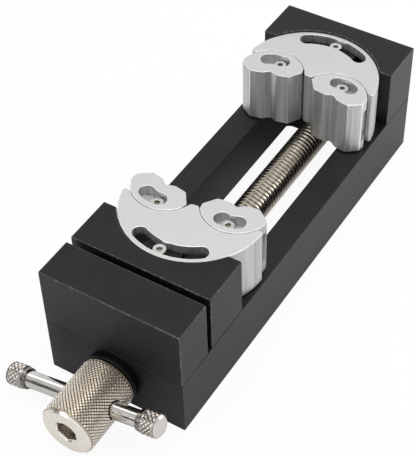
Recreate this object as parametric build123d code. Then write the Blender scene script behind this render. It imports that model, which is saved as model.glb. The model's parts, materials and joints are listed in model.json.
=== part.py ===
from build123d import *
import os
from math import cos, radians, sin, sqrt

os.makedirs("parts", exist_ok=True)

# ---------------------------------------------------------------- driving sizes, mm
body_width = 45.0
base_length = 136.5
base_height = 20.0
block_height = 20.0
slot_width = 27.4
channel_width = 32.0               # wider channel under the rails, for the nut's foot
channel_depth = 2.8
slot_corner_r = 3.0
end_wall = 12.0                    # base walls ahead of and behind the slot
front_block_depth = 13.0
jaw_block_depth = 16.0
open_gap = 2.0                     # moving block to front block, jaws fully open
slide_clearance = 0.05             # moving block above the rails
edge_break = 0.4

axis_lift = 1.0                    # lead screw above the base's middle
thread_r = 5.0                     # M10 x 1.5
shank_r = 4.0
shank_in_knob = 12.3
running_gap = 0.05
end_play = 0.1

knob_r = 8.6
knob_front = 23.4                  # knob face, ahead of the base
knob_back = 2.4
knob_chamfer = 0.8
set_screw_behind = 2.6             # knob's back to its set screw
set_screw_r = 1.5
set_screw_sink = 1.0
bush_r = 7.0
bush_flange_r = 8.2
collar_r = 7.6                     # thrust collar behind the bush
collar_length = 3.3
collar_room = 0.4
rear_bush_r = 6.5
rear_bush_length = 8.0
key_across_flats = 6.0
key_depth = 6.5

bar_r = 2.5
bar_ahead = 11.2                   # bar axis, ahead of the base
bar_tilt = 11.5                    # right end up, degrees
bar_length = 52.0                  # over both ends
bar_offset = -2.6                  # centre of the bar from the knob's axis
bar_head_r = 3.5
bar_head_length = 5.5
bar_neck_r = 3.1
bar_neck_length = 1.2
bar_in_head = 3.5                  # how far the rod reaches into each end

jaw_gap = 0.5                      # jaws above the base and below the block tops
flange = 3.0                       # top and bottom flanges of the swivel jaws
level_gap = 0.05                   # tongue to flange
swivel_r = 21.7
swivel_gap = 0.15
swivel_ahead = 12.0                # swivel centre ahead of its block's face
swivel_pocket_r = 14.0
swivel_pocket_half = 50.5
swivel_slot_r = 18.1
swivel_slot_width = 4.4
swivel_slot_half = 31.0
lug_half = 19.5
lug_r = 14.2
tip_y = -1.7
tooth_y = 0.2
tooth_round_share = 0.9            # roundings as shares of the tooth's and tips' widths
tip_round_share = 0.4

pad_x = 11.0                       # pad centre in the swivel jaw
pad_y = 4.5
pad_r = 10.5
pad_gap = 0.15
pad_half = 9.6                     # flats on both ends of the pad
pad_core_r = 3.8
pad_seat_r = 4.0
pad_slab_y = -2.9
pad_land_y = 1.0
pad_land_half = 6.3
pad_flange = 3.5
pad_corner = (10.2, -2.8)
notch_half = 2.4
notch_depth = 1.3
pad_slot_r = 6.3
pad_slot_width = 4.7
pad_slot_half = 22.0
pad_sweep = 22.5                   # room for the pad's slab, each way

stop_head_r = 1.9                  # M2 stop screws
stop_head_height = 2.0
stop_shank_r = 1.0
stop_shank_length = 5.0
bolt_r = 2.0                       # M4 bolts from below
bolt_hole_r = 2.25
bolt_head_r = 3.5
bolt_head_height = 4.0
bolt_sink_r = 3.8
bolt_sink = 4.4
bolt_grip = 8.0                    # thread in the upper piece
bolt_tap = 9.5
end_bolt_x = 15.0
nut_bolt_x = 10.0
nut_bolt_in = 4.2                  # nut bolts behind the block's front
nut_gap = 0.2
nut_lift = 0.3
foot_gap = 0.1                     # nut's foot to the roof of the channel
through = 1.0                      # how far a cut runs past the faces it opens

# rest positions, degrees about +Z, counter-clockwise from above
front_turn = 6.5
rear_turn = -0.8
pad_turns = {"front_left": -16.0, "front_right": 3.5, "rear_right": -7.0, "rear_left": 14.5}

# ---------------------------------------------------------------- derived sizes
half_width = body_width / 2
front = -base_length / 2           # the base's front face
rear = base_length / 2
top = base_height + block_height
axis_z = base_height / 2 + axis_lift
jaw_bottom = base_height + jaw_gap
jaw_top = top - jaw_gap
block_back = front + front_block_depth + open_gap
block_face = block_back + jaw_block_depth
rear_block_face = rear - jaw_block_depth
front_centre = block_face + swivel_ahead
rear_centre = rear_block_face - swivel_ahead
recess_r = swivel_r + swivel_gap
pad_recess_r = pad_r + pad_gap
groove_low = jaw_bottom + flange
groove_high = jaw_top - flange
lug_low = groove_low + level_gap
lug_high = groove_high - level_gap
pad_groove_low = jaw_bottom + pad_flange
pad_groove_high = jaw_top - pad_flange
tongue_low = pad_groove_low + level_gap
tongue_high = pad_groove_high - level_gap
bar_y = front - bar_ahead
bush_length = end_wall - collar_length - collar_room - end_play
bush_flange_length = knob_back - end_play
beyond = body_width                # a length that clears the whole part


# ---------------------------------------------------------------- helpers
def block(x0, x1, y0, y1, z0, z1):
    return Pos((x0 + x1) / 2, (y0 + y1) / 2, (z0 + z1) / 2) * Box(x1 - x0, y1 - y0, z1 - z0)


def post(r, z0, z1, x=0.0, y=0.0):
    return Pos(x, y, (z0 + z1) / 2) * Cylinder(r, z1 - z0)


def shaft(r, y0, y1, x=0.0, z=axis_z):
    return Pos(x, (y0 + y1) / 2, z) * Rot(90, 0, 0) * Cylinder(r, y1 - y0)


def prism(points, z0, z1):
    return extrude(Pos(0, 0, z0) * make_face(Polyline(*points, close=True)), z1 - z0)


def hex_prism(across_flats, z0, z1):
    outline = RegularPolygon(across_flats / 2, 6, major_radius=False)
    return extrude(Pos(0, 0, z0) * outline, z1 - z0)


def wedge(half):
    """Points of a fan that opens towards -Y by half degrees each side."""
    turn = [radians(-90 + half * k / 2) for k in (-2, -1, 0, 1, 2)]
    return [(0, 0)] + [(beyond * cos(a), beyond * sin(a)) for a in turn]


def ring_sector(r0, r1, half, z0, z1):
    return (post(r1, z0, z1) - post(r0, z0, z1)) & prism(wedge(half), z0, z1)


def arc_slot(r, width, half, z0, z1):
    slot = ring_sector(r - width / 2, r + width / 2, half, z0, z1)
    for side in (-1, 1):
        a = radians(-90 + side * half)
        slot += post(width / 2, z0, z1, r * cos(a), r * sin(a))
    return slot


def vertical_edges(solid, test):
    return [e for e in solid.edges().filter_by(Axis.Z) if test(e.center())]


def stop_screw(x, y, seat):
    screw = post(stop_head_r, seat, seat + stop_head_height) + post(stop_shank_r, seat - stop_shank_length, seat)
    screw -= hex_prism(1.5, seat + stop_head_height - 1.0, seat + stop_head_height)
    return Pos(x, y, 0) * screw


def cap_bolt(x, y, seat, length):
    """Bolt that enters from below, its head under z = seat."""
    bolt = post(bolt_head_r, seat - bolt_head_height, seat) + post(bolt_r, seat, seat + length)
    bolt -= hex_prism(3.0, seat - bolt_head_height, seat - bolt_head_height + 2.0)
    return Pos(x, y, 0) * bolt


def save(shape, name, colour):
    shape.label = name
    shape.color = Color(*colour)
    export_step(shape, f"parts/{name}.step")


black = (0.05, 0.05, 0.055)
silver = (0.80, 0.81, 0.82)
steel = (0.62, 0.60, 0.57)
bronze = (0.66, 0.50, 0.28)

# ---------------------------------------------------------------- base
base = block(-half_width, half_width, front, rear, 0, base_height)
base = chamfer(base.edges().filter_by(Axis.Z), edge_break)
slot_front, slot_rear = front + end_wall, rear - end_wall
for width, roof in ((slot_width, base_height + through), (channel_width, channel_depth)):
    slot = block(-width / 2, width / 2, slot_front, slot_rear, -through, roof)
    base -= fillet(slot.edges().filter_by(Axis.Z), slot_corner_r)
base -= shaft(bush_r, front - through, front + bush_length)
base -= shaft(collar_r + collar_room, front + bush_length, slot_front + slot_corner_r)
base -= shaft(rear_bush_r, slot_rear - slot_corner_r, slot_rear + rear_bush_length)
end_bolts = {"front": front + end_wall / 2, "rear": rear - end_wall / 2}
for y in end_bolts.values():
    for x in (-end_bolt_x, end_bolt_x):
        base -= post(bolt_hole_r, -through, base_height + through, x, y)
        base -= post(bolt_sink_r, -through, bolt_sink, x, y)
save(base, "base", black)

# ---------------------------------------------------------------- blocks on the base
front_block = block(-half_width, half_width, front, front + front_block_depth, base_height, top)
front_block = chamfer(front_block.edges().filter_by(Axis.Z) + front_block.faces().sort_by(Axis.Z)[-1].edges(), edge_break)
for x in (-end_bolt_x, end_bolt_x):
    front_block -= post(bolt_r, base_height - through, base_height + bolt_tap, x, end_bolts["front"])
save(front_block, "front_block", black)


def jaw_block(z0):
    """Block with its swivel seat at the origin, opening towards +Y."""
    body = block(-half_width, half_width, -swivel_ahead - jaw_block_depth, -swivel_ahead, z0, top)
    body = chamfer(body.edges().filter_by(Axis.Z) + body.faces().sort_by(Axis.Z)[-1].edges(), edge_break)
    body -= post(recess_r, z0 - through, top + through)
    body += ring_sector(lug_r, recess_r + through, lug_half, lug_low, lug_high)
    return body - post(stop_shank_r, lug_high - stop_shank_length, lug_high + through, 0, -swivel_slot_r)


to_front = Pos(0, front_centre, 0)
to_rear = Pos(0, rear_centre, 0) * Rot(0, 0, 180)

rear_jaw_block = to_rear * jaw_block(base_height)
for x in (-end_bolt_x, end_bolt_x):
    rear_jaw_block -= post(bolt_r, base_height - through, base_height + bolt_tap, x, end_bolts["rear"])
save(rear_jaw_block, "rear_jaw_block", black)

moving_jaw_block = to_front * jaw_block(base_height + slide_clearance)
nut_bolt_y = block_back + nut_bolt_in
for x in (-nut_bolt_x, nut_bolt_x):
    moving_jaw_block -= post(bolt_r, base_height - through, base_height + bolt_tap, x, nut_bolt_y)
save(moving_jaw_block, "moving_jaw_block", black)

for name, y in end_bolts.items():
    bolts = [cap_bolt(x, y, bolt_sink, base_height - bolt_sink + bolt_grip) for x in (-end_bolt_x, end_bolt_x)]
    save(Compound(children=bolts), f"{name}_block_bolts", steel)

# ---------------------------------------------------------------- slide nut under the moving block
slide_nut = None
for width, nut_top in ((slot_width, base_height + slide_clearance), (channel_width, channel_depth - foot_gap)):
    nut_half = width / 2 - nut_gap
    step = block(-nut_half, nut_half, block_back, block_face, nut_lift, nut_top)
    step = chamfer(step.edges().filter_by(Axis.Z), slot_corner_r / 2)
    slide_nut = slide_nut + step if slide_nut else step
slide_nut -= shaft(thread_r + running_gap, block_back - through, block_face + through)
nut_seat = nut_lift + bolt_sink
for x in (-nut_bolt_x, nut_bolt_x):
    slide_nut -= post(bolt_hole_r, 0, base_height + through, x, nut_bolt_y)
    slide_nut -= post(bolt_sink_r, 0, nut_seat, x, nut_bolt_y)
save(slide_nut, "slide_nut", steel)
nut_bolts = [cap_bolt(x, nut_bolt_y, nut_seat, base_height - nut_seat + bolt_grip) for x in (-nut_bolt_x, nut_bolt_x)]
save(Compound(children=nut_bolts), "nut_bolts", steel)

# ---------------------------------------------------------------- bearings
front_bush = shaft(bush_r, front - through, front + bush_length)
front_bush += shaft(bush_flange_r, front - bush_flange_length, front)
front_bush -= shaft(thread_r + running_gap, front - knob_front, front + end_wall)
save(front_bush, "front_bush", black)
rear_bush = shaft(rear_bush_r, slot_rear, slot_rear + rear_bush_length)
rear_bush -= shaft(shank_r + running_gap, slot_rear - through, slot_rear + rear_bush_length + through)
save(rear_bush, "rear_bush", bronze)

# ---------------------------------------------------------------- lead screw and knob
knob_back_y = front - knob_back
shank_end_y = knob_back_y - shank_in_knob
journal_y = slot_rear - jaw_gap
to_bar = Pos(0, bar_y, axis_z) * Rot(0, -bar_tilt, 0)      # local X along the bar, local Z across it
bar_hole = to_bar * Rot(0, 90, 0) * Cylinder(bar_r + running_gap, beyond)
lead_screw = shaft(shank_r, shank_end_y, knob_back_y)
lead_screw += shaft(thread_r, knob_back_y, journal_y)
lead_screw += shaft(shank_r, journal_y, slot_rear + rear_bush_length - 2 * end_play)
lead_screw -= bar_hole
save(lead_screw, "lead_screw", steel)

knob = shaft(knob_r, front - knob_front, knob_back_y)
knob = chamfer(knob.edges().filter_by(GeomType.CIRCLE), knob_chamfer)
knob -= shaft(shank_r, shank_end_y, front)
knob -= bar_hole
socket = hex_prism(key_across_flats, -through, key_depth)
knob -= Pos(0, front - knob_front, axis_z) * Rot(-90, 0, 0) * socket
to_set_screw = Pos(0, knob_back_y - set_screw_behind, axis_z) * Rot(0, -bar_tilt, 0)
knob -= to_set_screw * post(set_screw_r, -beyond, 0)
save(knob, "knob", steel)

set_screw_end = -knob_r + set_screw_sink
set_screw = post(set_screw_r, set_screw_end, -shank_r)
set_screw -= hex_prism(set_screw_r, set_screw_end, set_screw_end + set_screw_r)
save(to_set_screw * set_screw, "knob_set_screw", steel)

collar_y = front + bush_length + end_play
collar_end_y = slot_front - collar_room
thrust_collar = shaft(collar_r, collar_y, collar_end_y)
thrust_collar -= shaft(thread_r, collar_y - through, collar_end_y + through)
save(thrust_collar, "thrust_collar", steel)

# ---------------------------------------------------------------- tommy bar
to_bar_x = to_bar * Pos(bar_offset, 0, 0) * Rot(0, 90, 0)   # local Z along the bar
half_bar = bar_length / 2
rod_end = half_bar - bar_head_length + bar_in_head
neck_start = half_bar - bar_head_length - bar_neck_length
save(to_bar_x * Cylinder(bar_r, 2 * rod_end), "tommy_bar", steel)
for name, turn in (("left", Rot(180, 0, 0)), ("right", Rot(0, 0, 0))):
    head = post(bar_head_r, half_bar - bar_head_length, half_bar)
    head = chamfer(head.edges().filter_by(GeomType.CIRCLE), edge_break)
    head += post(bar_neck_r, neck_start, half_bar - bar_head_length)
    head -= post(bar_r, neck_start - through, rod_end)
    save(to_bar_x * turn * head, f"tommy_end_{name}", steel)


# ---------------------------------------------------------------- jaws
def pad_tongue():
    """Tongue that fills the pad's recess behind its core, clear of the pad's slab at every turn."""
    tongue = post(pad_recess_r + jaw_gap, tongue_low, tongue_high)
    tongue -= post(pad_seat_r, jaw_bottom, jaw_top)
    for turn in (-pad_sweep, 0, pad_sweep):
        tongue -= Rot(0, 0, turn) * block(-beyond, beyond, pad_slab_y - end_play, beyond, jaw_bottom, jaw_top)
    return tongue - post(stop_shank_r, tongue_high - stop_shank_length, jaw_top, 0, -pad_slot_r)


def swivel_jaw():
    """Half disc about the origin with two pad seats, facing +Y."""
    jaw = post(swivel_r, jaw_bottom, jaw_top)
    low, high = jaw_bottom - through, jaw_top + through
    jaw -= block(-beyond, beyond, tooth_y, beyond, low, high)
    for side in (-1, 1):
        jaw -= post(pad_recess_r, low, high, side * pad_x, pad_y)
        x0, x1 = sorted((side * pad_x, side * beyond))
        jaw -= block(x0, x1, tip_y, beyond, low, high)
    tooth_half = pad_x - sqrt(pad_recess_r**2 - (pad_y - tooth_y) ** 2)
    tip_width = sqrt(swivel_r**2 - tip_y**2) - pad_x - sqrt(pad_recess_r**2 - (pad_y - tip_y) ** 2)
    jaw = fillet(vertical_edges(jaw, lambda p: abs(p.X) < pad_x / 2), tooth_round_share * tooth_half)
    jaw = fillet(vertical_edges(jaw, lambda p: abs(p.X) > pad_x and p.Y > tip_y - 0.1), tip_round_share * tip_width)
    jaw -= ring_sector(swivel_pocket_r, swivel_r + through, swivel_pocket_half, groove_low, groove_high)
    jaw -= arc_slot(swivel_slot_r, swivel_slot_width, swivel_slot_half, groove_high - through, high)
    for side in (-1, 1):
        jaw += Pos(side * pad_x, pad_y, 0) * pad_tongue()
    return jaw


def pad():
    """Pad jaw about its own centre, V-notched land facing +Y."""
    x, y = pad_corner
    slope = (pad_land_y - y) / (pad_land_half - x)
    end_y = pad_land_y + slope * (pad_half - pad_land_half)
    right = [(pad_half, -beyond), (pad_half, end_y), (pad_land_half, pad_land_y), (notch_half, pad_land_y)]
    left = [(-px, py) for px, py in reversed(right)]
    body = post(pad_r, jaw_bottom, jaw_top)
    body &= prism(right + [(0, pad_land_y - notch_depth)] + left, jaw_bottom, jaw_top)
    low, high = pad_groove_low, pad_groove_high
    keep = post(pad_core_r, low, high) + block(-pad_r, pad_r, pad_slab_y, pad_r, low, high)
    body -= block(-beyond, beyond, -beyond, beyond, low, high) - keep
    return body - arc_slot(pad_slot_r, pad_slot_width, pad_slot_half, high - through, jaw_top + through)


for end, place, turn in (("front", to_front, front_turn), ("rear", to_rear, rear_turn)):
    turned = place * Rot(0, 0, turn)
    save(turned * swivel_jaw(), f"swivel_jaw_{end}", silver)
    save(place * stop_screw(0, -swivel_slot_r, lug_high), f"{end}_stop_screw", steel)
    screws = [turned * stop_screw(side * pad_x, pad_y - pad_slot_r, tongue_high) for side in (-1, 1)]
    save(Compound(children=screws), f"{end}_pad_screws", steel)
    for hand, side in (("left", -1), ("right", 1)):
        x = side * pad_x if end == "front" else -side * pad_x
        seat = turned * Pos(x, pad_y, 0) * Rot(0, 0, pad_turns[f"{end}_{hand}"])
        save(seat * pad(), f"pad_{end}_{hand}", silver)
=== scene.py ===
import json
import math
import bpy
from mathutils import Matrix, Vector

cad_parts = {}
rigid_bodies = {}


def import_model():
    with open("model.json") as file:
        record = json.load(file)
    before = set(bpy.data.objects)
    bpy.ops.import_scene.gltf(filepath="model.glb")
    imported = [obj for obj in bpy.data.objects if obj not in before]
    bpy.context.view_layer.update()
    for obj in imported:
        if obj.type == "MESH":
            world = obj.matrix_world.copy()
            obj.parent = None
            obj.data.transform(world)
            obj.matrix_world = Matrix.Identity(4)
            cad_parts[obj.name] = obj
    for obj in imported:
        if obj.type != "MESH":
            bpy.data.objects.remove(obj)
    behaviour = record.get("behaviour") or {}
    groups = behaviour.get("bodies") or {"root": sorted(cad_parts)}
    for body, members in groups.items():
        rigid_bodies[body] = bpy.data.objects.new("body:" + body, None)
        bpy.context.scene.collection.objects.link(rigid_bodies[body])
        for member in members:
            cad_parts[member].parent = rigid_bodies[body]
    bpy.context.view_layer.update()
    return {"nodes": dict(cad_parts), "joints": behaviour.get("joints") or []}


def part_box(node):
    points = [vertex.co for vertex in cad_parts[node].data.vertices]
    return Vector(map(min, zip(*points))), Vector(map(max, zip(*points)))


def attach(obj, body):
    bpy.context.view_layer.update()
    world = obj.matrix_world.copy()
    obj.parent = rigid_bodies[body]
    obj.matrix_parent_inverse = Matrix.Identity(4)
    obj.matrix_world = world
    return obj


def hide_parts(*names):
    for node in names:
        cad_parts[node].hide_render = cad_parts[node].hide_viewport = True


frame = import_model()
print("frame loaded with", len(frame["nodes"]), "parts")

bpy.context.scene.view_settings.view_transform = "Standard"


def inMillimetres(corner):
    return [round(1000 * value, 2) for value in corner]


# Pieces are modelled in millimetres on the frame's own axes: +Y runs from the knob to the
# fixed jaw, +X to the right, and z = 0 is the underside of the base.
baseLow, baseHigh = map(inMillimetres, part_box("base"))
jawLow, jawHigh = map(inMillimetres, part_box("swivel_jaw_front"))
blockHigh = inMillimetres(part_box("front_block")[1])
pivots = {joint["name"]: inMillimetres(joint["pos_m"]) for joint in frame["joints"] if "pos_m" in joint}
place = dict(
    screwHeight=pivots["screw_spin"][2],
    baseFront=baseLow[1], baseRear=baseHigh[1],
    baseTop=baseHigh[2], blockTop=blockHigh[2],
    jawLow=jawLow[2], jawHigh=jawHigh[2],
    slideGap=0.05,                           # the sliding block's play over the base
    frontSwivel=pivots["front_swivel_turn"][1], rearSwivel=pivots["rear_swivel_turn"][1],
    frontTurn=6.5, rearTurn=179.2,           # swivel turns as photographed, degrees
)
padSeat = dict(x=11.0, y=4.5, slotRadius=6.3)    # a pad's centre in its swivel jaw, and its arc slot
barLine = dict(ahead=11.2, tilt=11.5, offset=-2.6, length=52.0, rod=2.5)    # the tommy bar in the knob
creases = dict(smooth=35, knurl=16, thread=25, bevel=28)    # degrees between faces
past = 1.0             # a cutting tool reaches this far beyond the piece
same = 0.01            # coordinates closer than this count as one


# Modelling helpers
def takeUp(*pieces):
    if bpy.context.mode != "OBJECT":
        bpy.ops.object.mode_set(mode="OBJECT")
    bpy.ops.object.select_all(action="DESELECT")
    for piece in pieces:
        piece.select_set(True)
    if pieces:
        bpy.context.view_layer.objects.active = pieces[0]


def settle(piece):                 # puts a piece's place, turn and size into its mesh
    takeUp(piece)
    bpy.ops.object.transform_apply(location=True, rotation=True, scale=True)
    return piece


def turnAndMove(piece, turn, x, y):
    piece.rotation_euler.z = math.radians(turn)
    piece.location = (x, y, 0)
    return settle(piece)


def addBlock(name, low, high):
    takeUp()
    bpy.ops.mesh.primitive_cube_add(size=1, location=[(a + b) / 2 for a, b in zip(low, high)])
    block = bpy.context.object
    block.name = name
    block.scale = [b - a for a, b in zip(low, high)]
    return settle(block)


def addPost(name, radius, low, high, x=0, y=0, sides=96):
    takeUp()
    bpy.ops.mesh.primitive_cylinder_add(
        vertices=sides, radius=radius, depth=high - low, location=(x, y, (low + high) / 2))
    bpy.context.object.name = name
    return settle(bpy.context.object)


def addShaft(name, radius, start, end, x=0, z=place["screwHeight"], sides=96):
    takeUp()
    bpy.ops.mesh.primitive_cylinder_add(
        vertices=sides, radius=radius, depth=end - start,
        location=(x, (start + end) / 2, z), rotation=(math.radians(90), 0, 0))
    bpy.context.object.name = name
    return settle(bpy.context.object)


def combine(piece, tools, operation):
    for tool in tools:
        takeUp(piece)
        change = piece.modifiers.new("Combine", "BOOLEAN")
        change.operation, change.solver, change.object = operation, "EXACT", tool
        bpy.ops.object.modifier_apply(modifier=change.name)
        bpy.data.objects.remove(tool, do_unlink=True)
    return piece


def cut(piece, *tools):
    return combine(piece, tools, "DIFFERENCE")


def weld(piece, *tools):
    return combine(piece, tools, "UNION")


def gather(piece, *others):        # one object made of separate closed shells
    takeUp(piece, *others)
    bpy.ops.object.join()
    return piece


def copyOf(piece, name):
    takeUp(piece)
    bpy.ops.object.duplicate(linked=False)
    bpy.context.object.name = name
    return bpy.context.object


def editAll(piece):
    takeUp(piece)
    bpy.ops.object.mode_set(mode="EDIT")
    bpy.ops.mesh.select_all(action="SELECT")


def leaveEdit():
    bpy.ops.object.mode_set(mode="OBJECT")


def choose(piece, kind, test):     # edit mode, with only the faces or edges that pass selected
    editAll(piece)
    bpy.ops.mesh.select_mode(type=kind)
    bpy.ops.mesh.select_all(action="DESELECT")
    leaveEdit()
    mesh = piece.data
    if kind == "FACE":
        for face in mesh.polygons:
            face.select = bool(test(face.center, face.normal))
    else:
        for edge in mesh.edges:
            a, b = (mesh.vertices[i].co for i in edge.vertices)
            edge.select = bool(test(a, b))
    bpy.ops.object.mode_set(mode="EDIT")


def isUpright(a, b):
    return abs(a.x - b.x) < same and abs(a.y - b.y) < same


def mergeShell(piece):
    editAll(piece)
    bpy.ops.mesh.remove_doubles(threshold=0.004)
    bpy.ops.mesh.dissolve_degenerate(threshold=0.001)
    bpy.ops.mesh.normals_make_consistent(inside=False)
    leaveEdit()


def mergeFlats(piece):
    editAll(piece)
    bpy.ops.mesh.dissolve_limited(angle_limit=math.radians(0.5))
    leaveEdit()


def shade(piece, crease):
    takeUp(piece)
    bpy.ops.object.shade_smooth_by_angle(angle=math.radians(crease))


def smooth(piece):
    shade(piece, creases["smooth"])
    even = piece.modifiers.new("Even", "WEIGHTED_NORMAL")
    even.keep_sharp = True
    bpy.ops.object.modifier_apply(modifier=even.name)


def breakEdges(piece, width, finish, segments=2):    # finish: the face's material and then the edge's, a painted highlight when given
    mergeShell(piece)
    piece.data.materials.clear()
    for material in finish:
        piece.data.materials.append(material)
    bevel = piece.modifiers.new("Edges", "BEVEL")
    bevel.material = len(finish) - 1
    bevel.width, bevel.segments = width, segments
    bevel.limit_method, bevel.angle_limit = "ANGLE", math.radians(creases["bevel"])
    bevel.use_clamp_overlap = False
    bpy.ops.object.modifier_apply(modifier=bevel.name)
    smooth(piece)


def addArcBar(name, radius, width, half, low, high, roundEnds=True, stepLength=1.4):
    # a bar bent round Z, centred on -Y; spin turns clockwise here, so it starts on the right
    steps = max(6, round(math.radians(2 * half) * radius / stepLength))
    takeUp()
    bpy.ops.mesh.primitive_plane_add(
        size=1, location=(0, -radius, (low + high) / 2), rotation=(0, math.radians(90), 0))
    bar = bpy.context.object
    bar.name = name
    bar.scale = (high - low, width, 1)
    settle(bar)
    turnAndMove(bar, half, 0, 0)
    editAll(bar)
    bpy.ops.mesh.spin(steps=steps, angle=math.radians(2 * half), center=(0, 0, 0), axis=(0, 0, 1))
    leaveEdit()
    mergeShell(bar)
    if roundEnds:
        for side in (-1, 1):
            angle = math.radians(-90 + side * half)
            weld(bar, addPost("end", width / 2, low, high,
                              radius * math.cos(angle), radius * math.sin(angle), sides=48))
    return bar


def finishPiece(piece, body, nodes, material=None):
    piece.scale = (0.001, 0.001, 0.001)    # back to the frame's metres
    settle(piece)
    if material:
        piece.data.materials.clear()
        piece.data.materials.append(material)
    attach(piece, body)
    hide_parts(*nodes)


# Material helpers
pattern = dict(cloud=90, smear=220, brush=420, stain=900, streak=1100, polished=1200, turned=1500,
               speck=2500, grain=2600, fine=3400)      # cells in a metre


def newMaterial(name, colour, metallic, roughness):
    material = bpy.data.materials.new(name)
    material.use_nodes = True
    shader = material.node_tree.nodes["Principled BSDF"]
    shader.inputs["Base Color"].default_value = (*colour, 1)
    shader.inputs["Metallic"].default_value = metallic
    shader.inputs["Roughness"].default_value = roughness
    return material


def addNode(material, kind, **inputs):
    node = material.node_tree.nodes.new(kind)
    for socket, value in inputs.items():
        node.inputs[socket].default_value = value
    return node


def link(material, output, target):
    material.node_tree.links.new(output, target)


def addNoise(material, scale, stretch=(1, 1, 1), detail=3.0):
    where = addNode(material, "ShaderNodeTexCoord")
    mapping = addNode(material, "ShaderNodeMapping", Scale=stretch)
    noise = addNode(material, "ShaderNodeTexNoise", Scale=scale, Detail=detail)
    link(material, where.outputs["Object"], mapping.inputs["Vector"])
    link(material, mapping.outputs["Vector"], noise.inputs["Vector"])
    return noise.outputs["Fac"]


def spread(material, value, low, high, fromLow=0.3, fromHigh=0.7):
    ranger = addNode(material, "ShaderNodeMapRange")
    limits = {"From Min": fromLow, "From Max": fromHigh, "To Min": low, "To Max": high}
    for socket, number in limits.items():
        ranger.inputs[socket].default_value = number
    link(material, value, ranger.inputs["Value"])
    return ranger.outputs["Result"]


def tint(material, value, dark, light):
    blend = addNode(material, "ShaderNodeMix")
    blend.data_type = "RGBA"
    blend.inputs["A"].default_value = (*dark, 1)
    blend.inputs["B"].default_value = (*light, 1)
    link(material, value, blend.inputs["Factor"])
    return blend.outputs["Result"]


def setShader(material, socket, value):
    link(material, value, material.node_tree.nodes["Principled BSDF"].inputs[socket])


def addBump(material, height, strength, distance):
    bump = addNode(material, "ShaderNodeBump", Strength=strength, Distance=distance)
    link(material, height, bump.inputs["Height"])
    shader = material.node_tree.nodes["Principled BSDF"]
    before = [wire.from_socket for wire in material.node_tree.links
              if wire.to_socket == shader.inputs["Normal"]]
    if before:                     # an earlier bump stays underneath
        link(material, before[0], bump.inputs["Normal"])
    link(material, bump.outputs["Normal"], shader.inputs["Normal"])


# Materials
def makeBlack(name, dark, light, roughness, specular):
    material = newMaterial(name, light, 0.0, sum(roughness) / 2)
    material.node_tree.nodes["Principled BSDF"].inputs["Specular IOR Level"].default_value = specular
    cloud = addNoise(material, pattern["cloud"], detail=4)
    grain = addNoise(material, pattern["grain"], detail=2)
    setShader(material, "Base Color", tint(material, spread(material, cloud, 0, 1), dark, light))
    setShader(material, "Roughness", spread(material, grain, *roughness))
    addBump(material, grain, strength=0.25, distance=0.00001)
    brushed = addNoise(material, pattern["brush"], stretch=(6, 0.25, 6), detail=2)
    addBump(material, brushed, strength=0.10, distance=0.00001)
    return material


def makeSilver():
    # milled walls carry upright streaks, and the flat tops stay even
    finish = dict(dark=(0.42, 0.42, 0.43), light=(0.67, 0.67, 0.67), metallic=0.8,
                  roughness=(0.40, 0.50), top=0.85)
    roughness = sum(finish["roughness"]) / 2
    material = newMaterial("silverAluminium", finish["light"], finish["metallic"], roughness)
    streaks = spread(material, addNoise(material, pattern["streak"], stretch=(1, 1, 0.02)), 0, 1)
    facing = addNode(material, "ShaderNodeNewGeometry")
    split = addNode(material, "ShaderNodeSeparateXYZ")
    level = addNode(material, "ShaderNodeMath")    # 1 on flat tops, 0 on upright walls
    level.operation = "ABSOLUTE"
    link(material, facing.outputs["Normal"], split.inputs[0])
    link(material, split.outputs["Z"], level.inputs[0])
    even = addNode(material, "ShaderNodeMix", B=finish["top"])
    link(material, level.outputs[0], even.inputs["Factor"])
    link(material, streaks, even.inputs["A"])
    shine = even.outputs["Result"]
    grain = addNoise(material, pattern["fine"], detail=2)
    setShader(material, "Base Color", tint(material, shine, finish["dark"], finish["light"]))
    setShader(material, "Roughness", spread(material, shine, *finish["roughness"], fromLow=0, fromHigh=1))
    addBump(material, grain, strength=0.15, distance=0.00001)
    addBump(material, streaks, strength=0.12, distance=0.00002)
    return material


def makeMetal(name, colour, roughness, stretch, lines="turned", bump=0.1, dulled=0.8):
    material = newMaterial(name, colour, 1.0, sum(roughness) / 2)
    marks = addNoise(material, pattern[lines], stretch)
    cloud = addNoise(material, pattern["smear"])
    dull = [part * dulled for part in colour]
    setShader(material, "Base Color", tint(material, spread(material, cloud, 0, 1), dull, colour))
    setShader(material, "Roughness", spread(material, marks, *roughness))
    addBump(material, marks, strength=bump, distance=0.00002)
    return material


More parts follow.
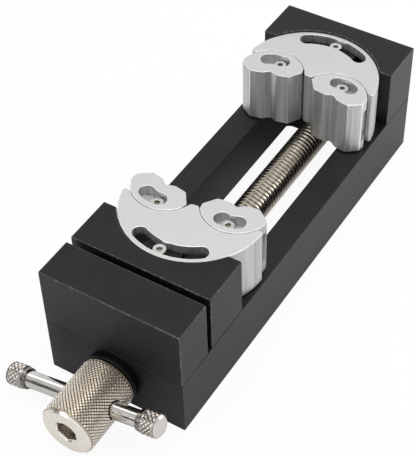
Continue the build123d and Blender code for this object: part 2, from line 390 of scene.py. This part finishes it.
def makeRidged(name, centre, turn, along, valley, crest, dark, light, roughness):
    # the valleys between ridges are painted dark as shade, with a warm oil tint, and the radius from the
    # axis finds them
    farAway = 1e6                  # shrinks the axis's own direction to nothing
    socket = dict(start=0.0001, end=0.00004)       # this far below the valleys the painted shade stops
    material = newMaterial(name, light, 1.0, sum(roughness) / 2)
    where = addNode(material, "ShaderNodeTexCoord")
    axis = addNode(material, "ShaderNodeMapping", Location=centre, Rotation=(0, turn, 0),
                   Scale=[farAway if i == along else 1 for i in range(3)])
    axis.vector_type = "TEXTURE"
    radius = addNode(material, "ShaderNodeVectorMath")
    radius.operation = "LENGTH"
    link(material, where.outputs["Object"], axis.inputs["Vector"])
    link(material, axis.outputs["Vector"], radius.inputs[0])
    shadeInValleys = spread(material, radius.outputs["Value"], 1, 0, valley, crest)
    within = spread(material, radius.outputs["Value"], 0, 1,
                    fromLow=valley - socket["start"], fromHigh=valley - socket["end"])
    paintedValleyShade = addNode(material, "ShaderNodeMath")
    paintedValleyShade.operation = "MULTIPLY"
    link(material, shadeInValleys, paintedValleyShade.inputs[0])
    link(material, within, paintedValleyShade.inputs[1])
    # painted shade: the colour darkens from the crests down into the valleys
    setShader(material, "Base Color", tint(material, paintedValleyShade.outputs[0], light, dark))
    stain = addNoise(material, pattern["stain"], stretch=(1, 4, 1))
    setShader(material, "Roughness", spread(material, stain, *roughness))
    addBump(material, addNoise(material, pattern["speck"], detail=2), strength=0.08, distance=0.00001)
    return material


def makeEdgeHighlight(name, patches, dark, light, metallic, roughness):
    # broken edges painted lighter as a highlight, lighter still in small patches where the finish is rubbed
    # through
    material = newMaterial(name, light, metallic, roughness)
    rubbedAndHighlit = spread(material, addNoise(material, pattern["stain"], detail=4), 0, 1, *patches)
    setShader(material, "Base Color", tint(material, rubbedAndHighlit, dark, light))
    addBump(material, addNoise(material, pattern["grain"], detail=2), strength=0.2, distance=0.00001)
    return material


blackAnodised = makeBlack("blackAnodised", dark=(0.006, 0.006, 0.0065), light=(0.011, 0.011, 0.0118),
                          roughness=(0.36, 0.46), specular=0.27)
# a darker copy of the anodised black for the front bush: painted shade
shadedBlackBush = makeBlack("shadedBlackBush", dark=(0.002, 0.002, 0.002), light=(0.004, 0.004, 0.0042),
                      roughness=(0.30, 0.40), specular=0.16)
# painted highlight on the black pieces' broken edges, partly rubbed-through wear
blackEdgeHighlight = makeEdgeHighlight("blackEdgeHighlight", patches=(0.50, 0.74), dark=(0.022, 0.022, 0.023),
                     light=(0.16, 0.16, 0.165), metallic=0.0, roughness=0.35)
silverAluminium = makeSilver()
# painted highlight on the silver pieces' broken edges
silverEdgeHighlight = makeEdgeHighlight("silverEdgeHighlight", patches=(0.35, 0.60), dark=(0.74, 0.74, 0.74),
                      light=(0.95, 0.95, 0.95), metallic=0.8, roughness=0.3)
blackFinish = (blackAnodised, blackEdgeHighlight)          # the faces' material and the broken edges' painted highlight
silverFinish = (silverAluminium, silverEdgeHighlight)
screwAxis = (0, 0, place["screwHeight"] / 1000)
barAxis = (0, (place["baseFront"] - barLine["ahead"]) / 1000, place["screwHeight"] / 1000)
# painted shade in the knurls' and the thread's valleys, with a warm oil tint
nickelKnob = makeRidged("nickelKnob", screwAxis, turn=0, along=1, valley=0.00802, crest=0.00824,
                        dark=(0.33, 0.265, 0.19), light=(0.80, 0.76, 0.69), roughness=(0.22, 0.34))
nickelGrip = makeRidged("nickelGrip", barAxis, turn=math.radians(-barLine["tilt"]), along=0,
                        valley=0.00322, crest=0.00342,
                        dark=(0.20, 0.175, 0.155), light=(0.68, 0.65, 0.62), roughness=(0.22, 0.34))
threadSteel = makeRidged("threadSteel", screwAxis, turn=0, along=1, valley=0.00412, crest=0.00492,
                         dark=(0.07, 0.055, 0.04), light=(0.84, 0.78, 0.68), roughness=(0.20, 0.32))
polishedSteel = makeMetal("polishedSteel", (0.64, 0.62, 0.60), roughness=(0.12, 0.22),
                          stretch=(0.1, 1, 1), lines="polished", bump=0.05)
screwSteel = makeMetal("screwSteel", (0.84, 0.82, 0.79), roughness=(0.16, 0.28), stretch=(1, 1, 1))
# a darker steel painted into the screw sockets as shade
socketShadeSteel = makeMetal("socketShadeSteel", (0.42, 0.385, 0.35), roughness=(0.20, 0.32), stretch=(1, 0.2, 1))
# a darker steel for the necks between the grips and the rod
darkNeckSteel = makeMetal("darkNeckSteel", (0.24, 0.22, 0.20), roughness=(0.18, 0.30), stretch=(1, 0.2, 1))
turnedSteel = makeMetal("turnedSteel", (0.70, 0.69, 0.67), roughness=(0.24, 0.36), stretch=(1, 0.2, 1))
blackOxide = makeMetal("blackOxide", (0.06, 0.058, 0.056), roughness=(0.30, 0.42), stretch=(1, 1, 1))
bronze = makeMetal("sinteredBronze", (0.60, 0.42, 0.20), roughness=(0.34, 0.48), stretch=(1, 1, 1))
print("materials made")


# Base: a milled bar with a long slot, bored at both ends for the lead screw
def makeBase():
    base = dict(half=22.5, slotHalf=13.7, channelHalf=16.0, channelDepth=2.8, slotCorner=3.0,
                endWall=12.0, edge=0.3,
                bushBore=7.05, bushDepth=8.2, collarBore=8.0, overlap=0.01, rearBore=6.55, rearDepth=8.0,
                boltX=15.0, boltHole=2.25, boltSink=3.8, boltSinkDepth=4.4)
    front, rear = place["baseFront"], place["baseRear"]
    slotFront, slotRear = front + base["endWall"], rear - base["endWall"]
    body = addBlock("baseBody", (-base["half"], front, 0), (base["half"], rear, place["baseTop"]))
    slots = []
    for half, roof in ((base["slotHalf"], place["baseTop"] + past),
                       (base["channelHalf"], base["channelDepth"])):
        slots.append(addBlock("slotTool", (-half, slotFront, -past), (half, slotRear, roof)))
        choose(slots[-1], "EDGE", isUpright)
        bpy.ops.mesh.bevel(offset=base["slotCorner"], segments=8, affect="EDGES")
        leaveEdit()
    cut(body, *slots,
        addShaft("bore", base["bushBore"], front - past, front + base["bushDepth"]),
        addShaft("pocket", base["collarBore"], front + base["bushDepth"] - base["overlap"],
                 slotFront + past),
        addShaft("rearBore", base["rearBore"], slotRear - past, slotRear + base["rearDepth"]))
    for y in (front + base["endWall"] / 2, rear - base["endWall"] / 2):
        for x in (-base["boltX"], base["boltX"]):
            cut(body, addPost("hole", base["boltHole"], -past, place["baseTop"] + past, x, y, sides=32),
                addPost("sink", base["boltSink"], -past, base["boltSinkDepth"], x, y, sides=48))
    breakEdges(body, base["edge"], [blackAnodised])
    finishPiece(body, "frame", ["base"])


makeBase()
print("base made")


# Blocks bolted on the base
def makeFrontBlock():
    block = dict(half=22.5, depth=13.0, edge=0.3)
    front = place["baseFront"]
    body = addBlock("frontBlock", (-block["half"], front, place["baseTop"]),
                    (block["half"], front + block["depth"], place["blockTop"]))
    breakEdges(body, block["edge"], blackFinish)
    finishPiece(body, "frame", ["front_block"])


def makeJawBlock(name, bottom):    # about its swivel's centre, opening towards +Y
    block = dict(half=22.5, ahead=12.0, depth=16.0, recess=21.85, edge=0.3,
                 lugInner=14.2, lugOuter=22.6, lugHalf=19.5, lugLow=23.55, lugHigh=36.45)
    body = addBlock(name, (-block["half"], -block["ahead"] - block["depth"], bottom),
                    (block["half"], -block["ahead"], place["blockTop"]))
    cut(body, addPost("recess", block["recess"], bottom - past, place["blockTop"] + past, sides=192))
    middle = (block["lugInner"] + block["lugOuter"]) / 2
    weld(body, addArcBar("lug", middle, block["lugOuter"] - block["lugInner"], block["lugHalf"],
                         block["lugLow"], block["lugHigh"], roundEnds=False))
    breakEdges(body, block["edge"], blackFinish)
    return body


def placeJawBlocks():
    movingBlock = makeJawBlock("movingBlock", place["baseTop"] + place["slideGap"])
    turnAndMove(movingBlock, 0, 0, place["frontSwivel"])
    finishPiece(movingBlock, "moving_jaw", ["moving_jaw_block"])
    rearBlock = makeJawBlock("rearBlock", place["baseTop"])
    turnAndMove(rearBlock, 180, 0, place["rearSwivel"])
    finishPiece(rearBlock, "frame", ["rear_jaw_block"])


makeFrontBlock()
placeJawBlocks()
print("blocks made")


# Swivel jaws: the CAD solids, merged, with broken edges and a shelf that floors each pad's slot
def makeSwivel(name, body, node, end):
    jaw = dict(edge=0.22, shelfRadius=6.375, shelfWidth=4.65, shelfHalf=55,
               shelfLow=34.0, shelfTop=35.94)
    swivel = copyOf(frame["nodes"][node], name)
    bpy.ops.object.parent_clear(type="CLEAR_KEEP_TRANSFORM")
    swivel.scale = (1000, 1000, 1000)      # from the frame's metres
    settle(swivel)
    mergeShell(swivel)
    mergeFlats(swivel)
    breakEdges(swivel, jaw["edge"], silverFinish)
    for side in (-1, 1):
        shelf = addArcBar("shelf", jaw["shelfRadius"], jaw["shelfWidth"], jaw["shelfHalf"],
                          jaw["shelfLow"], jaw["shelfTop"], roundEnds=False)
        turnAndMove(shelf, 0, side * padSeat["x"], padSeat["y"])
        turnAndMove(shelf, place[end + "Turn"], 0, place[end + "Swivel"])
        weld(swivel, shelf)
    mergeShell(swivel)
    smooth(swivel)
    finishPiece(swivel, body, [node])


makeSwivel("frontSwivelJaw", "front_swivel", "swivel_jaw_front", "front")
makeSwivel("rearSwivelJaw", "rear_swivel", "swivel_jaw_rear", "rear")
print("swivel jaws made")


# Pads: notched part-discs that hook on the swivel jaws' tongues
def makePad():                     # about its own centre, facing +Y
    pad = dict(radius=10.5, sides=120, flankTurn=24,     # the flanks start at a corner of the disc
               land=1.0, landHalf=6.3, cornerX=10.2, cornerY=-2.8,
               notchHalf=2.4, notchDepth=1.3, notchSoft=0.45, notchReach=-2.0,
               slotWidth=4.7, slotHalf=22.0, edge=0.22,
               grooveLow=24.0, grooveHigh=36.0, grooveFace=-2.9, grooveReach=12.0, core=3.8,
               undercutRadius=6.375, undercutWidth=5.05, undercutHalf=80,
               undercutLow=33.85, undercutTop=35.99)
    body = addPost("pad", pad["radius"], place["jawLow"], place["jawHigh"], sides=pad["sides"])
    flank = pad["radius"] * math.cos(math.radians(pad["flankTurn"]))
    run, rise = pad["cornerX"] - pad["landHalf"], pad["land"] - pad["cornerY"]
    for where, facing in (((0, pad["land"], 0), (0, 1, 0)),
                          ((pad["landHalf"], pad["land"], 0), (rise, run, 0)),
                          ((-pad["landHalf"], pad["land"], 0), (-rise, run, 0)),
                          ((flank, 0, 0), (1, 0, 0)),
                          ((-flank, 0, 0), (-1, 0, 0))):
        editAll(body)
        bpy.ops.mesh.bisect(plane_co=where, plane_no=facing, use_fill=True, clear_outer=True)
        leaveEdit()
    notch = addPost("notch", 1, place["jawLow"] - past, place["jawHigh"] + past, sides=4)
    notch.scale = (pad["notchHalf"], pad["notchDepth"], 1)
    notch.location = (0, pad["land"], 0)
    settle(notch)
    cut(body, notch)
    mergeShell(body)
    choose(body, "EDGE", lambda a, b: isUpright(a, b) and abs(a.x) < pad["notchHalf"] + same
           and a.y > pad["notchReach"])
    bpy.ops.mesh.bevel(offset=pad["notchSoft"], segments=3, affect="EDGES")
    leaveEdit()
    cut(body, addArcBar("slot", padSeat["slotRadius"], pad["slotWidth"], pad["slotHalf"],
                        pad["grooveHigh"] - past, place["jawHigh"] + past))
    mergeFlats(body)
    breakEdges(body, pad["edge"], silverFinish)
    groove = addBlock("groove", (-pad["grooveReach"], -pad["grooveReach"], pad["grooveLow"]),
                      (pad["grooveReach"], pad["grooveFace"], pad["grooveHigh"]))
    cut(groove, addPost("core", pad["core"], pad["grooveLow"] - past, pad["grooveHigh"] + past, sides=64))
    shelfRoom = addArcBar("shelfRoom", pad["undercutRadius"], pad["undercutWidth"], pad["undercutHalf"],
                          pad["undercutLow"], pad["undercutTop"], roundEnds=False)
    cut(body, groove, shelfRoom)
    mergeShell(body)
    smooth(body)
    return body


def placePads():
    first = makePad()
    turns = dict(front_left=-16.0, front_right=3.5, rear_left=14.5, rear_right=-7.0)
    for name, turn in turns.items():
        end, hand = name.split("_")
        side = -1 if hand == "left" else 1
        if end == "rear":              # the rear jaw faces the knob, so its sides are swapped
            side = -side
        pad = copyOf(first, end + hand.capitalize() + "Pad")
        turnAndMove(pad, turn, side * padSeat["x"], padSeat["y"])
        turnAndMove(pad, place[end + "Turn"], 0, place[end + "Swivel"])
        finishPiece(pad, name + "_pad", ["pad_" + name])
    bpy.data.objects.remove(first, do_unlink=True)


placePads()
print("pads made")


# M2 stop screws in the slots
def makeStopScrew():               # its head seated at z = 0
    screw = dict(head=1.9, headHeight=2.0, shank=1.0, shankLength=5.0, key=1.5, keyDepth=1.0,
                 edge=0.15, overlap=0.1)
    top = screw["headHeight"]
    keyRadius = screw["key"] / math.sqrt(3)
    body = addPost("stopScrew", screw["head"], 0, top, sides=48)
    cut(body, addPost("key", keyRadius, top - screw["keyDepth"], top + past, sides=6))
    breakEdges(body, screw["edge"], [screwSteel])
    body.data.materials.append(socketShadeSteel)
    for face in body.data.polygons:               # the socket's walls and floor are painted darker, as shade
        deep = screw["overlap"] < face.center.z < top - screw["edge"]
        face.material_index = 1 if deep and face.center.xy.length < keyRadius - same else 0
    return gather(body, addPost("shank", screw["shank"], -screw["shankLength"], screw["overlap"], sides=24))


def placeStopScrews():
    seat = dict(lugTop=36.45, tongueTop=35.95, stopRadius=18.1, padTurn=20)
    first = makeStopScrew()

    def addScrew(name, height, turn, x, y):
        screw = copyOf(first, name)
        screw.location.z = height
        settle(screw)
        return turnAndMove(screw, turn, x, y)

    for end, body in (("front", "moving_jaw"), ("rear", "frame")):
        stop = addScrew(end + "StopScrew", seat["lugTop"], 0, 0, -seat["stopRadius"])
        turnAndMove(stop, 0 if end == "front" else 180, 0, place[end + "Swivel"])
        finishPiece(stop, body, [end + "_stop_screw"])
        pair = gather(*(addScrew(end + "PadScrews", seat["tongueTop"], side * seat["padTurn"],
                                 side * padSeat["x"], padSeat["y"] - padSeat["slotRadius"])
                        for side in (-1, 1)))
        turnAndMove(pair, place[end + "Turn"], 0, place[end + "Swivel"])
        finishPiece(pair, end + "_swivel", [end + "_pad_screws"])
    bpy.data.objects.remove(first, do_unlink=True)


placeStopScrews()
print("stop screws made")


# Knurling: a tube whose quads are poked, joined into diamonds and raised
def addKnurl(name, radius, start, end, around, rows, depth, margin, raised=0.95):
    takeUp()
    bpy.ops.mesh.primitive_cylinder_add(
        vertices=around, radius=radius - depth, depth=end - start, end_fill_type="NOTHING",
        location=(0, (start + end) / 2, 0), rotation=(math.radians(90), 0, 0))
    tube = settle(bpy.context.object)
    tube.name = name
    choose(tube, "EDGE", lambda a, b: abs(a.y - b.y) > same)
    bpy.ops.mesh.subdivide(number_cuts=rows - 1)
    leaveEdit()
    corners = len(tube.data.vertices)
    editAll(tube)
    bpy.ops.mesh.poke()
    bpy.ops.mesh.select_mode(type="EDGE")
    bpy.ops.mesh.select_all(action="DESELECT")
    leaveEdit()
    mesh = tube.data
    for edge in mesh.edges:        # the first grid's edges, apart from the two rims
        a, b = edge.vertices
        ya, yb = mesh.vertices[a].co.y, mesh.vertices[b].co.y
        onRim = abs(ya - yb) < same and min(abs(ya - start), abs(ya - end)) < same
        edge.select = a < corners and b < corners and not onRim
    bpy.ops.object.mode_set(mode="EDIT")
    bpy.ops.mesh.dissolve_edges(use_verts=False)
    bpy.ops.mesh.select_mode(type="FACE")
    bpy.ops.mesh.select_all(action="DESELECT")
    leaveEdit()
    for face in mesh.polygons:     # the diamonds, and not the triangles along the rims
        face.select = len(face.vertices) == 4
    bpy.ops.object.mode_set(mode="EDIT")
    bpy.ops.mesh.inset(thickness=margin, depth=depth * raised, use_individual=True)
    leaveEdit()
    return tube


def closeRim(tube, y, steps):      # carries a tube's open rim over (advance, radius share) steps
    choose(tube, "EDGE", lambda a, b: abs(a.y - y) < same and abs(b.y - y) < same)
    at = y
    for advance, share in steps:
        bpy.ops.mesh.extrude_region_move(TRANSFORM_OT_translate={"value": (0, advance, 0)})
        at += advance
        bpy.ops.transform.resize(value=(share, 1, share), center_override=(0, at, 0))
    bpy.ops.mesh.edge_face_add()
    leaveEdit()


# Knob with its hexagon socket and the cross hole for the tommy bar
def makeKnob():
    knob = dict(radius=8.35, front=-91.3, back=-70.65, around=46, rows=16, depth=0.36, margin=0.22,
                rim=0.9, frontRim=((-0.1, 1.025), (-0.7, 0.92), (-0.1, 0.985)),
                backRim=((0.1, 1.025), (0.7, 0.95), (0.1, 0.985)),
                key=6.0, keyDepth=6.5, sink=3.8, sinkDepth=0.45, sinkTaper=0.86, lap=0.02,
                shank=4.05, shankDepth=12.3, crossHole=2.85, crossReach=20,
                setScrewY=-73.25, setScrew=1.55, setReach=12)
    body = addKnurl("knobBody", knob["radius"], knob["front"] + knob["rim"], knob["back"] - knob["rim"],
                    knob["around"], knob["rows"], knob["depth"], knob["margin"])
    closeRim(body, knob["front"] + knob["rim"], knob["frontRim"])
    closeRim(body, knob["back"] - knob["rim"], knob["backRim"])
    body.location.z = place["screwHeight"]
    settle(body)
    key = addShaft("key", knob["key"] / math.sqrt(3), knob["front"] - past,
                   knob["front"] + knob["keyDepth"], sides=6)
    sinkEnd = knob["front"] + knob["sinkDepth"]
    sink = addShaft("sink", knob["sink"], knob["front"] - knob["lap"], sinkEnd, sides=48)
    choose(sink, "FACE", lambda centre, normal: normal.y > 0.5)
    bpy.ops.transform.resize(value=(knob["sinkTaper"], 1, knob["sinkTaper"]),
                             center_override=(0, sinkEnd, place["screwHeight"]))
    leaveEdit()
    cross = addPost("cross", knob["crossHole"], -knob["crossReach"], knob["crossReach"], sides=48)
    setHole = addPost("setHole", knob["setScrew"], -knob["setReach"], 0, sides=32)
    for tool, y, turn in ((cross, place["baseFront"] - barLine["ahead"], 90 - barLine["tilt"]),
                          (setHole, knob["setScrewY"], -barLine["tilt"])):
        tool.rotation_euler.y = math.radians(turn)
        tool.location = (0, y, place["screwHeight"])
        settle(tool)
    shank = addShaft("shankBore", knob["shank"], knob["back"] - knob["shankDepth"],
                     knob["back"] + past, sides=48)
    cut(body, setHole, shank, cross, key, sink)
    mergeShell(body)
    shade(body, creases["knurl"])
    finishPiece(body, "screw", ["knob"], nickelKnob)


makeKnob()
print("knob made")


# Tommy bar: a polished rod with a knurled end screwed on each side
def makeTommyBar():
    bar = dict(head=3.5, headLength=5.5, around=15, rows=3, depth=0.30, margin=0.3,
               outerEnd=0.8, outerRim=((0.1, 1.06), (0.6, 0.84), (0.1, 0.96)),
               innerEnd=0.45, innerRim=((-0.1, 1.06), (-0.3, 0.92), (-0.05, 0.97)),
               neck=3.1, neckLength=1.2, overlap=0.2, edge=0.2, rodEnd=2.0)
    tilt = math.radians(barLine["tilt"])
    half = barLine["length"] / 2

    def layAlong(piece, flip):     # from its own +Y axis to the bar's line, left or right end
        piece.rotation_euler.z = math.radians(90 if flip else -90)
        settle(piece)
        piece.location.x = barLine["offset"]
        settle(piece)
        piece.rotation_euler.y = -tilt
        piece.location = (0, place["baseFront"] - barLine["ahead"], place["screwHeight"])
        settle(piece)

    for name, flip in (("left", True), ("right", False)):
        start, end = half - bar["headLength"], half
        head = addKnurl(name + "Grip", bar["head"], start + bar["innerEnd"], end - bar["outerEnd"],
                        bar["around"], bar["rows"], bar["depth"], bar["margin"])
        closeRim(head, end - bar["outerEnd"], bar["outerRim"])
        closeRim(head, start + bar["innerEnd"], bar["innerRim"])
        mergeShell(head)
        shade(head, creases["knurl"])
        neck = addShaft("neck", bar["neck"], start - bar["neckLength"], start + bar["overlap"],
                        z=0, sides=64)
        breakEdges(neck, bar["edge"], [darkNeckSteel])
        head.data.materials.append(nickelGrip)
        grip = gather(head, neck)
        layAlong(grip, flip)
        finishPiece(grip, "bar", ["tommy_end_" + name])
    reach = half - bar["rodEnd"]
    rod = addShaft("tommyRod", barLine["rod"], -reach, reach, z=0, sides=96)
    smooth(rod)
    layAlong(rod, False)
    finishPiece(rod, "bar", ["tommy_bar"], polishedSteel)


makeTommyBar()
print("tommy bar made")


# Lead screw: a left-handed M10 thread between plain journals
def makeLeadScrew():
    screw = dict(crest=5.0, crestFrom=0.54, crestTo=0.82, root=4.08, rootFrom=1.36, pitch=1.5,
                 turns=77, steps=40, start=55.75, frontEnd=-82.95, rearEnd=64.05, journal=4.0)
    profile = ((screw["root"], 0), (screw["crest"], screw["crestFrom"]),
               (screw["crest"], screw["crestTo"]), (screw["root"], screw["rootFrom"]),
               (screw["root"], screw["pitch"]))    # radius, and place along one turn
    takeUp()
    bpy.ops.mesh.primitive_circle_add(vertices=len(profile), fill_type="NOTHING")
    thread = bpy.context.object
    thread.name = "leadScrew"
    for vertex, (radius, along) in zip(thread.data.vertices, profile):
        vertex.co = (radius, -along, 0)
    choose(thread, "EDGE", lambda a, b: abs(a.y - b.y) > screw["pitch"] - same)
    bpy.ops.mesh.delete(type="EDGE")
    leaveEdit()
    helix = thread.modifiers.new("Helix", "SCREW")
    helix.axis, helix.angle, helix.screw_offset = "Y", math.radians(360), -screw["pitch"]
    helix.iterations, helix.use_merge_vertices = screw["turns"], True
    helix.steps = helix.render_steps = screw["steps"]
    bpy.ops.object.modifier_apply(modifier=helix.name)
    thread.location = (0, screw["start"], place["screwHeight"])
    settle(thread)
    editAll(thread)
    bpy.ops.mesh.remove_doubles(threshold=0.005)
    bpy.ops.mesh.select_all(action="DESELECT")
    bpy.ops.mesh.select_mode(type="EDGE")
    bpy.ops.mesh.select_non_manifold(extend=False)
    bpy.ops.mesh.edge_face_add()
    bpy.ops.mesh.select_all(action="SELECT")
    bpy.ops.mesh.normals_make_consistent(inside=False)
    leaveEdit()
    shade(thread, creases["thread"])
    journals = addShaft("journals", screw["journal"], screw["frontEnd"], screw["rearEnd"], sides=64)
    smooth(journals)
    gather(thread, journals)
    finishPiece(thread, "screw", ["lead_screw"], threadSteel)


makeLeadScrew()
print("lead screw made")


# Front bush: a black flanged bearing behind the knob
def makeFrontBush():
    bush = dict(flange=8.2, flangeLength=2.3, barrel=7.0, depth=8.2, bore=5.1, edge=0.5,
                edgeSteps=4, overlap=0.5)
    seat = place["baseFront"]
    front, back = seat - bush["flangeLength"], seat + bush["depth"]
    flange = addShaft("frontBush", bush["flange"], front, seat, sides=128)
    breakEdges(flange, bush["edge"], [shadedBlackBush], bush["edgeSteps"])
    weld(flange, addShaft("barrel", bush["barrel"], seat - bush["overlap"], back))
    cut(flange, addShaft("bore", bush["bore"], front - past, back + past))
    mergeShell(flange)
    smooth(flange)
    finishPiece(flange, "frame", ["front_bush"], shadedBlackBush)


makeFrontBush()
print("front bush made")

# CAD parts that keep their own shape get these finishes
finishes = dict(
    slide_nut=turnedSteel, thrust_collar=turnedSteel, rear_bush=bronze, knob_set_screw=blackOxide,
    front_block_bolts=blackOxide, rear_block_bolts=blackOxide, nut_bolts=blackOxide,
)
for node, material in finishes.items():
    for materialSlot in frame["nodes"][node].material_slots:
        materialSlot.material = material
print("CAD parts finished")


# Studio: a pale floor, a pale surround, soft boxes and the photo's camera
def makeFloor():
    floorSheet = dict(size=4.0, below=0.0002, colour=(0.93, 0.93, 0.93), roughness=0.9,
                      glow={"Is Camera Ray": 0.93, "Is Glossy Ray": 0.12, "Is Transmission Ray": 0.93})
    takeUp()
    bpy.ops.mesh.primitive_plane_add(size=floorSheet["size"], location=(0, 0, -floorSheet["below"]))
    floor = bpy.context.object
    floor.name = "floor"
    paper = newMaterial("floorPaper", floorSheet["colour"], 0.0, floorSheet["roughness"])
    nodes = paper.node_tree.nodes
    glow = addNode(paper, "ShaderNodeEmission", Strength=1.0)
    blend = addNode(paper, "ShaderNodeMixShader")
    path = addNode(paper, "ShaderNodeLightPath")
    share = None                   # how much of the sheet's own glow each kind of ray sees
    for ray, weight in floorSheet["glow"].items():
        part = addNode(paper, "ShaderNodeMath")
        part.operation = "MULTIPLY_ADD"
        part.inputs[1].default_value = weight
        part.inputs[2].default_value = 0
        link(paper, path.outputs[ray], part.inputs[0])
        if share:
            link(paper, share, part.inputs[2])
        share = part.outputs[0]
    link(paper, share, blend.inputs[0])
    link(paper, nodes["Principled BSDF"].outputs[0], blend.inputs[1])
    link(paper, glow.outputs[0], blend.inputs[2])
    link(paper, blend.outputs[0], nodes["Material Output"].inputs["Surface"])
    floor.data.materials.append(paper)


def makeSurround():
    sky = dict(plain=(0.26, 0.50), shiny=(1.0, 0.62), shinyFrom=(0.5, 0.8),
               darkSide=(-0.67, -0.70, 0.25), darkTo=0.08, darkEdge=(0.93, 0.97))
    world = bpy.data.worlds.new("studioWorld")
    bpy.context.scene.world = world
    world.use_nodes = True
    where = addNode(world, "ShaderNodeTexCoord")
    split = addNode(world, "ShaderNodeSeparateXYZ")
    facing = addNode(world, "ShaderNodeVectorMath")
    facing.operation = "DOT_PRODUCT"
    facing.inputs[1].default_value = sky["darkSide"]
    path = addNode(world, "ShaderNodeLightPath")
    link(world, where.outputs["Generated"], split.inputs[0])
    link(world, where.outputs["Generated"], facing.inputs[0])
    plain = spread(world, split.outputs["Z"], *sky["plain"], 0, 1)
    bright = spread(world, split.outputs["Z"], *sky["shiny"], *sky["shinyFrom"])
    darkened = spread(world, facing.outputs["Value"], 1, sky["darkTo"], *sky["darkEdge"])
    shiny = addNode(world, "ShaderNodeMath")       # what metal mirrors: pale, and dim to one side
    shiny.operation = "MULTIPLY"
    link(world, bright, shiny.inputs[0])
    link(world, darkened, shiny.inputs[1])
    light = plain
    for ray, level in (("Is Glossy Ray", shiny.outputs[0]), ("Is Camera Ray", None)):
        choice = addNode(world, "ShaderNodeMix", B=1.0)
        link(world, path.outputs[ray], choice.inputs["Factor"])
        link(world, light, choice.inputs["A"])
        if level:
            link(world, level, choice.inputs["B"])
        light = choice.outputs["Result"]
    backdrop = world.node_tree.nodes["Background"]
    backdrop.inputs["Color"].default_value = (1, 1, 1, 1)
    link(world, light, backdrop.inputs["Strength"])


def addSoftBoxes():
    softBoxes = dict(
        overhead=dict(location=(0.05, -0.05, 0.95), aim=(0, 0, 0), size=0.8, power=4.6),
        frontLeft=dict(location=(-0.49, -0.90, 0.62), aim=(0, -0.03, 0.02), size=0.4, power=1.8),
        left=dict(location=(-0.70, 0.10, 0.60), aim=(0, 0, 0), size=0.25, power=0.5),
        rearRight=dict(location=(0.17, 0.23, 0.13), aim=(0.05, 0.10, 0), size=0.16, power=0.30))
    for name, box in softBoxes.items():
        bpy.ops.object.light_add(type="AREA", location=box["location"])
        lamp = bpy.context.object
        lamp.name = name
        lamp.data.shape, lamp.data.size, lamp.data.energy = "SQUARE", box["size"], box["power"]
        towards = Vector(box["aim"]) - Vector(box["location"])
        lamp.rotation_euler = towards.to_track_quat("-Z", "Y").to_euler()


def addCamera():
    camera = dict(location=(0.14523, -0.24106, 0.30043), rotation=(43.8871, 1.2967, 31.8299),
                  focus=104.113, sensorHeight=36, near=0.01, far=20)
    bpy.ops.object.camera_add(location=camera["location"],
                              rotation=[math.radians(angle) for angle in camera["rotation"]])
    eye = bpy.context.object
    eye.name = "photoCamera"
    eye.data.sensor_fit, eye.data.sensor_height = "VERTICAL", camera["sensorHeight"]
    eye.data.lens = camera["focus"]
    eye.data.clip_start, eye.data.clip_end = camera["near"], camera["far"]
    bpy.context.scene.camera = eye


makeFloor()
makeSurround()
addSoftBoxes()
addCamera()
print("studio made")
